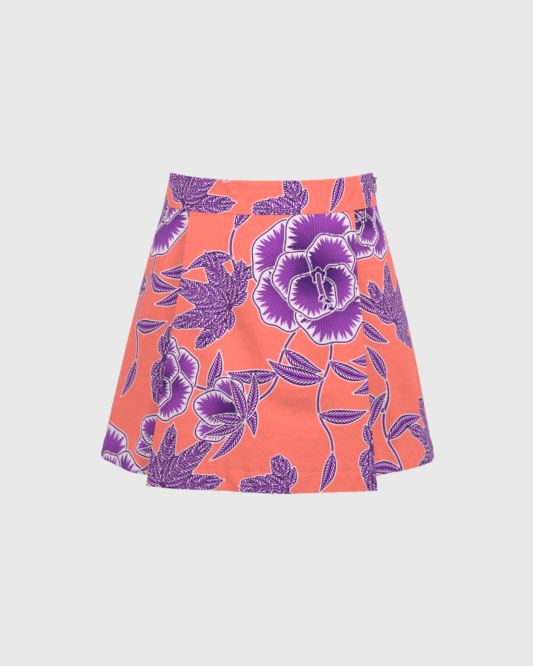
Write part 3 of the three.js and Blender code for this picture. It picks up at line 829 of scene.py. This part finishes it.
def zip_chain():
    """Two rows of teeth that meet in the middle, on a woven tape behind the edges of the opening."""
    points, faces, is_tape = [], [], []

    def add(new_points, new_faces, tape):
        start = sum(len(p) for p in points)
        points.append(new_points)
        faces.extend([[start + i for i in face] for face in new_faces])
        is_tape.extend([tape] * len(new_faces))

    top = BAND["top"] - CHAIN["top"]
    for i in range(int((top - CHAIN["ends"]) / CHAIN["pitch"])):
        for way in (-1, 1):
            z = top - (i + 0.25 * (1 + way)) * CHAIN["pitch"]
            add(*pill(at_zip(way * 0.3, z, 1.0), (0.42, 0.66, 0.3)), False)
    levels = np.linspace(top + 1.6, CHAIN["ends"] - 3, 70)[:, None]
    half = (0.9, 2, 3.4, 6, CHAIN["tape"])
    across = np.array([*(-v for v in half[::-1]), 0, *half])[None, :]
    seam, flank = float(waist_seam(math.pi / 2)), smooth(np.abs(across), 0.6, 2.4)
    behind = lerp(1.55, 2.55, smooth(levels, seam - 2.5, seam + 0.5)) * flank + 1.62 * (1 - flank)
    layers = [at_zip(across, levels, behind + wall).reshape(-1, 3) for wall in (0, CHAIN["tape_wall"])]
    ids = np.arange(behind.size).reshape(behind.shape)
    tape_faces = grid_faces(ids) + grid_faces(ids + ids.size, flip=True)
    for edge in RIM:
        for a, b in zip(ids[edge].tolist(), ids[edge][1:].tolist()):
            tape_faces.append([a, b, b + ids.size, a + ids.size])
    add(np.concatenate(layers), tape_faces, True)
    obj = mesh_object("zip_teeth_and_tape", np.concatenate(points), faces)
    obj.data.polygons.foreach_set("material_index", np.array(is_tape, int))
    return obj


SLIDER = dict(at=11.0, wall=1.2, width=5.2, foot=3.8, length=8.0, cheek=0.8, pin=0.45, pin_up=2.2)
TAB = dict(
    length=17.8, top=1.45, widest=1.6, widest_at=0.3, tip=0.32, wall=0.8, below_pin=0.95, eye=1.2,
    eye_tube=0.24, turn=0.95, inward=1.3,
)
PIN_OUT = GAP + SLIDER["wall"] + GAP + 1.3


def band_face(z):
    """How far out the form is at the wearer's left, at a height."""
    return float(on_form(math.pi / 2, z)[0][0])


SLIDER_X = band_face(SLIDER["at"]) + BAND["proud"]
SLIDER_LEAN = -math.atan2(band_face(SLIDER["at"] - 5) - band_face(SLIDER["at"] + 5), 10)


def on_slider(points):
    """Points made flat on the waistband, x out of it and z up, moved to where the slider is."""
    x, y, z = np.asarray(points, float).reshape(-1, 3).T
    c, s = math.cos(SLIDER_LEAN), math.sin(SLIDER_LEAN)
    return np.stack([SLIDER_X + c * x + s * z, y, SLIDER["at"] - s * x + c * z], -1)


def ring_faces(bm, low, high):
    """Faces between two rings of vertices."""
    after = [ring[1:] + ring[:1] for ring in (low, high)]
    return [bm.faces.new(corners) for corners in zip(low, after[0], after[1], high)]


def bevelled(bm, outline, low, high, radius):
    """A plate of an outline in y and z, from low to high in x, with rounded edges."""
    rows = [[bm.verts.new((x, y, z)) for y, z in outline] for x in (low, high)]
    faces = [bm.faces.new(rows[0][::-1]), bm.faces.new(rows[1]), *ring_faces(bm, *rows)]
    edges = list(dict.fromkeys(edge for face in faces for edge in face.edges))
    settings = dict(segments=3, profile=0.6, affect="EDGES", clamp_overlap=True)
    bmesh.ops.bevel(bm, geom=edges, offset=radius, **settings)


def from_bmesh(name, bm):
    """An object at the slider, with its faces in an order that is the same each run."""
    bmesh.ops.recalc_face_normals(bm, faces=bm.faces[:])
    placed = on_slider([tuple(v.co) for v in bm.verts])
    bm.verts.index_update()
    faces = []
    for face in bm.faces:
        corners = [v.index for v in face.verts]
        first = corners.index(min(corners))
        faces.append((corners[first:] + corners[:first], face.material_index))
    bm.free()
    faces, materials = zip(*sorted(faces))
    obj = mesh_object(name, placed, faces, 35)
    obj.data.polygons.foreach_set("material_index", materials)
    return obj


def zip_slider():
    bm = bmesh.new()
    half, foot, tall, wall = SLIDER["width"] / 2, SLIDER["foot"] / 2, SLIDER["length"] / 2, SLIDER["wall"]
    shield = [(-half * 0.82, tall), (-half, tall * 0.55), (-half, tall * 0.05)]
    shield += [(-foot, -tall * 0.7), (-foot * 0.8, -tall)]
    shield += [(-y, z) for y, z in shield[::-1]]
    bevelled(bm, shield[::-1], GAP, GAP + wall, 0.34)
    top = PIN_OUT + SLIDER["pin"] + 0.1
    for way in (-1, 1):
        y = way * (half - SLIDER["cheek"] / 2 + 0.02)
        cheek = [(y - SLIDER["cheek"] / 2, SLIDER["pin_up"] + d) for d in (1.2, -1.2)]
        cheek += [(y + SLIDER["cheek"] / 2, SLIDER["pin_up"] + d) for d in (-1.2, 1.2)]
        bevelled(bm, cheek, GAP + wall - 0.3, top, 0.24)
    turn = mathutils.Matrix.Rotation(math.pi / 2, 4, "X")
    move = mathutils.Matrix.Translation((PIN_OUT, 0, SLIDER["pin_up"]))
    bmesh.ops.create_cone(
        bm, segments=20, radius1=SLIDER["pin"], radius2=SLIDER["pin"], depth=SLIDER["width"] - 0.9,
        cap_ends=True, matrix=move @ turn,
    )
    # Faces against the band get the dark metal, made dark as painted shade for the shadow in the zip's
    # opening; the bridge gets the tan paint.
    for face in bm.faces:
        face.material_index = int(face.calc_center_median().x > GAP + wall + 0.05)  # the bridge is painted
    return from_bmesh("zip_slider_body", bm)


def leaf_half(share):
    """Half the tab's width, a share of the way down it."""
    widest_at = TAB["widest_at"]
    if share < widest_at:
        return lerp(TAB["top"], TAB["widest"], math.sin(math.pi * share / widest_at / 2))
    narrowing = math.cos((share - widest_at) / (1 - widest_at) * math.pi / 2) ** 0.8
    return lerp(TAB["tip"], TAB["widest"], narrowing)


def zip_tab():
    """An eye round the pin, and a leaf-shaped plate that hangs from it and narrows to a point."""
    bm = bmesh.new()
    rings = []
    for a in np.linspace(0, 2 * math.pi, 24, endpoint=False):
        ring = []
        for across, out in ((-1.25, -1), (-1.42, 0), (-1.25, 1), (1.25, 1), (1.42, 0), (1.25, -1)):
            r = TAB["eye"] - TAB["eye_tube"] + out * TAB["eye_tube"]
            ring.append(bm.verts.new((PIN_OUT + r * math.cos(a), across, SLIDER["pin_up"] + r * math.sin(a))))
        rings.append(ring)
    for ring, after in zip(rings, rings[1:] + rings[:1]):
        ring_faces(bm, ring, after)
    rows = []
    for share in np.linspace(0, 1, 30):
        z = SLIDER["pin_up"] - TAB["below_pin"] - share * (TAB["length"] - TAB["below_pin"])
        end = math.sqrt(max(1 - max(share - 0.97, 0) ** 2 / 0.03**2, 0.04))
        turn, inward = TAB["turn"] * smooth(share, 0.26, 0.5), TAB["inward"] * share**1.6
        ring = []
        for a in np.linspace(0, 2 * math.pi, 16, endpoint=False):
            y = leaf_half(share) * end * blunted(math.cos(a), 0.7)
            x, y = turned_by(TAB["wall"] / 2 * end * blunted(math.sin(a), 0.7), y, turn)
            ring.append(bm.verts.new((PIN_OUT - TAB["eye"] + TAB["wall"] / 2 + x - inward, y, z)))
        rows.append(ring)
    for upper, lower in zip(rows, rows[1:]):
        ring_faces(bm, upper, lower)
    bm.faces.new(rows[0][::-1])
    bm.faces.new(rows[-1])
    return from_bmesh("zip_tab_leaf", bm)


# ---- Materials --------------------------------------------------------------------------------------------

STUDIO = 1.28  # how much brighter than its own colour the studio's lights show a surface


def linear(*srgb):
    """The surface colour that shows as an sRGB colour in the studio's light."""
    return tuple((c / 255 / 12.92 if c <= 10 else ((c / 255 + 0.055) / 1.055) ** 2.4) / STUDIO for c in srgb)


def tinted(colour, *by):
    return tuple(c * k for c, k in zip(colour, by))


def add_node(tree, kind, inputs=(), **settings):
    """A shader node. Its inputs, by name or number, are numbers, colours or what to link."""
    node = tree.nodes.new("ShaderNode" + kind)
    for name, value in settings.items():
        setattr(node, name, value)
    for name, value in dict(inputs).items():
        value = value.socket if isinstance(value, Num) else value
        if isinstance(value, bpy.types.NodeSocket):
            tree.links.new(value, node.inputs[name])
        else:
            node.inputs[name].default_value = (*value, 1) if isinstance(value, tuple) else value
    return node


class Num:
    """A number worked out by a shader's nodes."""

    def __init__(self, tree, socket):
        self.tree, self.socket = tree, socket

    def op(self, operation, *others, flip=False):
        terms = (*others, self) if flip else (self, *others)
        return Num(self.tree, add_node(self.tree, "Math", enumerate(terms), operation=operation).outputs[0])

    def __add__(self, other):
        return self.op("ADD", other)

    def __mul__(self, other):
        return self.op("MULTIPLY", other)

    def __truediv__(self, other):
        return self.op("DIVIDE", other)

    def __sub__(self, other):
        return self.op("SUBTRACT", other)

    def __rsub__(self, other):
        return self.op("SUBTRACT", other, flip=True)

    def __abs__(self):
        return self.op("ABSOLUTE")

    def wave(self):
        """A triangle wave of period 1, from 0 up to 1 and back."""
        return 1 - abs(self.op("FRACT") * 2 - 1)

    def ramp(self, low, high):
        """Smoothly from 0 at low to 1 at high, which may be the smaller."""
        inputs = {"Value": self, "From Min": low, "From Max": high}
        node = add_node(self.tree, "MapRange", inputs, interpolation_type="SMOOTHSTEP")
        return Num(self.tree, node.outputs["Result"])


class Surface:
    """A material's node tree with short names for the nodes it uses."""

    def __init__(self, name, roughness, **sockets):
        self.material = bpy.data.materials.new(name)
        self.material.use_nodes = True
        self.tree = self.material.node_tree
        self.shader = next(n for n in self.tree.nodes if n.type == "BSDF_PRINCIPLED")
        self.shader.inputs["Roughness"].default_value = roughness
        for socket, value in sockets.items():
            self.shader.inputs[socket.replace("_", " ")].default_value = value

    def split(self, socket):
        return [Num(self.tree, out) for out in add_node(self.tree, "SeparateXYZ", {0: socket}).outputs]

    def join(self, x, y, z=0.0):
        return add_node(self.tree, "CombineXYZ", enumerate((x, y, z))).outputs[0]

    def parts(self, name):
        """The three numbers of a mesh attribute."""
        return self.split(add_node(self.tree, "Attribute", attribute_name=name).outputs["Vector"])

    def place(self):
        """The object's own coordinates, in millimetres."""
        return [n * 1000 for n in self.split(add_node(self.tree, "TexCoord").outputs["Object"])]

    def noise(self, vector, scale, detail=2.0, roughness=0.5):
        inputs = {"Vector": vector, "Scale": scale, "Detail": detail, "Roughness": roughness}
        return Num(self.tree, add_node(self.tree, "TexNoise", inputs).outputs["Fac"])

    def mix(self, factor, a, b):
        """A colour between two, each a socket or three numbers."""
        return add_node(self.tree, "Mix", {0: factor, 6: a, 7: b}, data_type="RGBA").outputs[2]

    def finish(self, colour, height, strength, distance):
        """The material, with its colour and its bumps."""
        inputs = {"Strength": strength, "Distance": distance * MM, "Height": height}
        bump = add_node(self.tree, "Bump", inputs)
        self.tree.links.new(colour, self.shader.inputs["Base Color"])
        self.tree.links.new(bump.outputs[0], self.shader.inputs["Normal"])
        return self.material


CORAL = (0.738, 0.138, 0.106)
PALE, WHITE = linear(232, 206, 228), linear(232, 212, 230)
DARK, MID = linear(70, 0, 92), linear(124, 26, 146)
VIOLET, LILAC = linear(202, 138, 214), linear(255, 224, 252)
INDIGO, BRIGHT, CONTOUR = linear(60, 8, 104), linear(155, 65, 175), linear(80, 0, 98)
STEM_INK, STEM_LIGHT, HEART_INK = linear(98, 30, 110), linear(142, 84, 156), linear(44, 14, 78)
THREAD = 0.42  # from thread to thread of the plain weave


def weave(s, across, down):
    """Height and shade of a plain weave with uneven threads, from a piece's own cloth coordinates."""
    warp, weft = (across / THREAD).wave(), (down / THREAD).wave()
    slub = s.noise(s.join(across * 0.012, down * 0.5), 1.0, 3)
    slub = slub + s.noise(s.join(across * 0.5, down * 0.012), 1.0, 3)
    return warp * 0.5 + weft * 0.5 + slub * 1.2, slub


def leaf_ink(s, fill, along, across):
    """Purple, light with fine strokes along the rib, and dark along the edge with pale teeth into it."""
    off = abs(across)
    out = off / (off + fill.op("MAXIMUM", 0.01))
    strokes = ((along - off * 1.15) / 3.7).wave()
    patch = s.noise(s.join(along, across, fill * 0.2), 0.16, 2)
    ink = s.mix(out.ramp(0.04, 0.16) * out.ramp(0.7, 0.5), DARK, MID)
    lit = strokes.ramp(0.45, 0.8) * patch.ramp(0.15, 0.6) * 0.8
    ink = s.mix(lit * out.ramp(0.08, 0.2) * out.ramp(0.6, 0.46), ink, VIOLET)
    teeth = (strokes - out.ramp(0.5, 0.86) * 0.42).ramp(0.47, 0.6)
    ink = s.mix(teeth * out.ramp(0.42, 0.5) * out.ramp(0.86, 0.78), ink, LILAC)
    return s.mix(fill.ramp(1.3, 0.6) * 0.9, ink, DARK)


def petal_ink(s, rim, along, across, size):
    """Bright purple with fine dotted rays, dark towards the heart, flames of it into a white margin, and a
    contour."""
    turn = across.op("ARCTAN2", along)
    flames = (turn * 4.1 + size * 1.7).wave().op("POWER", 2.0)
    finer = ((turn * 6.9 + size * 0.7) + (turn * 3 + size).op("SINE") * 0.4).wave().op("POWER", 2.4) * 0.75
    margin = size * (flames.op("MAXIMUM", finer) * 0.29 + 0.02) * turn.op("COSINE").ramp(-0.9, 0.1)
    up = along / size.op("MAXIMUM", 1.0) + 1.0
    fan = (across / size.op("MAXIMUM", 1.0)).op("ARCTAN2", up + 0.25)
    dots = (fan * 21).wave() * 0.6 + (rim / 2.1 + fan * 3).wave() * 0.4
    blush = s.noise(s.join(along, across, size), 0.07, 2)
    ink = s.mix((up + blush * 0.7).ramp(2.0, 0.8), BRIGHT, INDIGO)
    ink = s.mix(dots.ramp(0.4, 0.65) * up.ramp(2.2, 1.0) * 0.8, ink, DARK)
    ink = s.mix((rim - margin - 2.1).ramp(0.5, -0.5), ink, WHITE)
    return s.mix(rim.ramp(1.95, 1.55), ink, CONTOUR)


def printed_cotton():
    s = Surface("printed_cotton_cloth", 0.82, Specular_IOR_Level=0.2, Sheen_Weight=0.04, Sheen_Roughness=0.5)
    fill, extent, kind = s.parts("ink")
    along, across, size = s.parts("motif")
    rim = s.parts("rim")[0]
    x, y, wrong_side = s.parts("cloth")
    flat = s.join(x, y)
    mottle = s.noise(flat, 0.05, 4, 0.6)
    ground = s.mix(mottle.ramp(0.3, 0.7) * 0.5, CORAL, tinted(CORAL, 0.975, 0.93, 0.93))
    colour = s.mix(extent.ramp(-0.2, 0.3), ground, PALE)
    ink = leaf_ink(s, fill, along, across)
    ink = s.mix(kind.ramp(0.45, 0.55), ink, s.mix(fill.ramp(0.2, 1.0) * 0.3, STEM_INK, STEM_LIGHT))
    ink = s.mix(kind.ramp(1.45, 1.55), ink, petal_ink(s, rim, along, across, size))
    ink = s.mix(kind.ramp(2.45, 2.55), ink, s.mix(fill.ramp(0.5, 2.5), INDIGO, HEART_INK))
    ink = s.mix(s.noise(flat, 0.35, 3).ramp(0.4, 0.8) * 0.04, ink, VIOLET)
    colour = s.mix(s.noise(flat, 0.55, 3, 0.6).ramp(0.4, 0.75) * 0.1, colour, linear(252, 196, 190))
    colour = s.mix(fill.ramp(-0.3, 0.3), colour, ink)
    colour = s.mix(wrong_side * 0.42, colour, linear(244, 176, 170))
    crumple = s.noise(flat, 0.09, 3, 0.55) * 9 + s.noise(s.join(x * 0.6, y * 0.22), 0.5, 2) * 1.2
    return s.finish(colour, weave(s, x, y)[0] * 0.35 + crumple, 0.55, 0.3)


def shorts_cotton():
    s = Surface("shorts_cotton_cloth", 0.84, Specular_IOR_Level=0.26, Sheen_Weight=0.12, Sheen_Roughness=0.5)
    x, y, wrong_side = s.parts("cloth")
    height, slub = weave(s, x, y)
    mottle = s.noise(s.join(x, y), 0.04, 3)
    colour = s.mix(mottle.ramp(0.3, 0.7) * 0.6, CORAL, tinted(CORAL, 0.95, 0.86, 0.86))
    colour = s.mix(slub.ramp(0.7, 1.6) * 0.05, colour, linear(250, 190, 184))
    row = abs(y + SHORTS["hem"] + SHORTS["turn"] - 2.0).ramp(0.5, 0.3)
    stitch = (x / 2.6).wave().ramp(0.25, 0.4) * row
    colour = s.mix(stitch * 0.8, colour, linear(252, 160, 146))
    colour = s.mix(wrong_side * 0.2, colour, linear(246, 170, 160))
    return s.finish(colour, height + stitch * 2, 0.14, 0.12)


def zip_plastic():
    s = Surface("zip_teeth_nylon", 0.38, Specular_IOR_Level=0.45)
    grain = s.noise(s.join(*s.place()), 0.9, 2)
    colour = s.mix(grain.ramp(0.3, 0.7), linear(206, 104, 96), linear(226, 124, 112))
    return s.finish(colour, grain, 0.1, 0.05)


def zip_tape():
    s = Surface("zip_tape_weave", 0.8, Sheen_Weight=0.1)
    x, y, z = s.place()
    twill = ((y + z) / 0.7).wave()
    shade = twill * 0.35 + s.noise(s.join(x, y, z), 0.6) * 0.3
    return s.finish(s.mix(shade, linear(232, 112, 100), linear(214, 92, 84)), twill, 0.3, 0.15)


def painted_metal():
    coat = dict(Coat_Weight=0.2, Coat_Roughness=0.25)
    s = Surface("zip_painted_metal", 0.42, Specular_IOR_Level=0.5, Metallic=0.15, **coat)
    x, y, z = s.place()
    mottle = s.noise(s.join(x, y, z), 0.35, 3)
    colour = s.mix(mottle.ramp(0.3, 0.7), linear(190, 122, 98), linear(208, 146, 120))
    edge = Num(s.tree, add_node(s.tree, "NewGeometry").outputs["Pointiness"]).ramp(0.52, 0.6)
    colour = s.mix(edge * 0.5, colour, linear(226, 186, 168))
    return s.finish(colour, s.noise(s.join(x * 3, y * 3, z * 0.5), 1.2, 3), 0.08, 0.05)


# Metal for the slider's body, made dark as painted shade for the shadow in the zip's opening beside the band.
def painted_shade_metal():
    s = Surface("zip_dark_metal", 0.4, Specular_IOR_Level=0.5, Metallic=0.6)
    mottle = s.noise(s.join(*s.place()), 0.5, 3)
    return s.finish(s.mix(mottle.ramp(0.3, 0.7), linear(62, 30, 40), linear(96, 54, 60)), mottle, 0.1, 0.06)


PRINTED, SHORTS_COTTON = printed_cotton(), shorts_cotton()
TEETH, TAPE, PAINTED, SHADE_DARK_METAL = zip_plastic(), zip_tape(), painted_metal(), painted_shade_metal()

# ---- The pieces -------------------------------------------------------------------------------------------


def fit(piece, node, body, slot, *materials):
    """Dresses a piece and puts it in place of a part's node."""
    for material in materials:
        piece.data.materials.append(material)
    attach(piece, body)
    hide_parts(node)


# Flat sizes of the cut as it shows, in metres, with the flat area where it isn't a rectangle.
CLOTH_PIECES = (
    # piece, made by, width, length, area, how it is held, slot
    ("front_panel", front_panel, 0.348, 0.345, 0.098, "hung", "printed_cotton"),
    ("side_front_right", lambda: side_front(-1), 0.172, 0.326, 0.0455, "hung", "printed_cotton"),
    ("side_front_left", lambda: side_front(1), 0.170, 0.326, 0.0445, "hung", "printed_cotton"),
    ("back_panel", back_panel, 0.566, 0.338, 0.1468, "hung", "printed_cotton"),
    ("waistband_front", lambda: waistband(True), 0.356, 0.042, 0.0144, "folded", "printed_cotton"),
    ("waistband_back", lambda: waistband(False), 0.356, 0.042, 0.0144, "folded", "printed_cotton"),
    ("shorts_right", lambda: shorts(-1), 0.500, 0.330, 0.120, "hung", "shorts_cotton"),
    ("shorts_left", lambda: shorts(1), 0.500, 0.330, 0.120, "hung", "shorts_cotton"),
)
for node, make, width, length, area, held, slot in CLOTH_PIECES:
    piece = make()
    fit(piece, node, "skort", slot, SHORTS_COTTON if slot == "shorts_cotton" else PRINTED)

fit(zip_chain(), "zip_chain", "skort", "zip_coil", TEETH, TAPE)
# The slider's body takes the dark metal of painted shade, its bridge the tan paint.
fit(zip_slider(), "zip_slider", "skort", "zip_metal", SHADE_DARK_METAL, PAINTED)
fit(zip_tab(), "zip_pull_tab", "zip_pull", "zip_metal", PAINTED)

# ---- Stage ------------------------------------------------------------------------------------------------

BACKGROUND, IN_FRONT = 0.815, 0.24  # how bright the studio is behind the skort, and on the camera's side
FLOOR, FLOOR_REACH = -1.0, 40.0
AIM = (0, 0, -0.15)
LIGHTS = table(
    "name place size power",
    ("key", (1.3, -1.1, 2.0), 0.8, 76.0),
    ("fill", (-1.6, -1.15, 1.6), 0.8, 43.0),
    ("low", (-0.5, -2.2, -0.3), 0.8, 4.5),
    ("back", (-0.4, 2.3, 1.4), 1.0, 34.0),
)


def staged(name, data):
    obj = bpy.data.objects.new(name, data)
    bpy.context.scene.collection.objects.link(obj)
    return obj


scene = bpy.context.scene
world = bpy.data.worlds.new("studio")
world.use_nodes = True
sky = world.node_tree.nodes["Background"]
sky.inputs["Color"].default_value = (1, 1, 1, 1)
outlook = add_node(world.node_tree, "TexCoord").outputs["Generated"]
depth = add_node(world.node_tree, "SeparateXYZ", {0: outlook}).outputs["Y"]
fade = {"Value": depth, "From Min": -0.3, "From Max": 0.6, "To Min": IN_FRONT, "To Max": BACKGROUND}
brightness = add_node(world.node_tree, "MapRange", fade, interpolation_type="SMOOTHSTEP").outputs["Result"]
world.node_tree.links.new(brightness, sky.inputs["Strength"])
scene.world = world

pale = bpy.data.materials.new("studio_floor_pale")
pale.use_nodes = True
pale.node_tree.nodes.clear()
glow = add_node(pale.node_tree, "Emission", {"Strength": BACKGROUND}).outputs[0]
add_node(pale.node_tree, "OutputMaterial", {"Surface": glow})
corners = [(x * FLOOR_REACH, y * FLOOR_REACH, FLOOR) for x, y in ((-1, -1), (1, -1), (1, 1), (-1, 1))]
floor = staged("studio_floor", bpy.data.meshes.new("studio_floor"))
floor.data.from_pydata(corners, [], [(0, 1, 2, 3)])
floor.data.materials.append(pale)

for row in LIGHTS:
    light = bpy.data.lights.new(row["name"], "AREA")
    light.shape, light.size, light.energy = "DISK", row["size"], row["power"]
    lamp = staged(row["name"], light)
    lamp.location = row["place"]
    lamp.rotation_euler = (mathutils.Vector(AIM) - lamp.location).to_track_quat("-Z", "Y").to_euler()

camera = staged("camera", bpy.data.cameras.new("camera"))
camera.data.sensor_fit, camera.data.sensor_width, camera.data.sensor_height = "VERTICAL", 36.0, 36.0
camera.data.lens = 85.47
camera.location = (-0.0043, -1.950, 0.0205)
camera.rotation_euler = (math.radians(90 - 5.796), 0, 0)
scene.camera = camera
scene.view_settings.view_transform = "Standard"
scene.view_settings.look = "None"
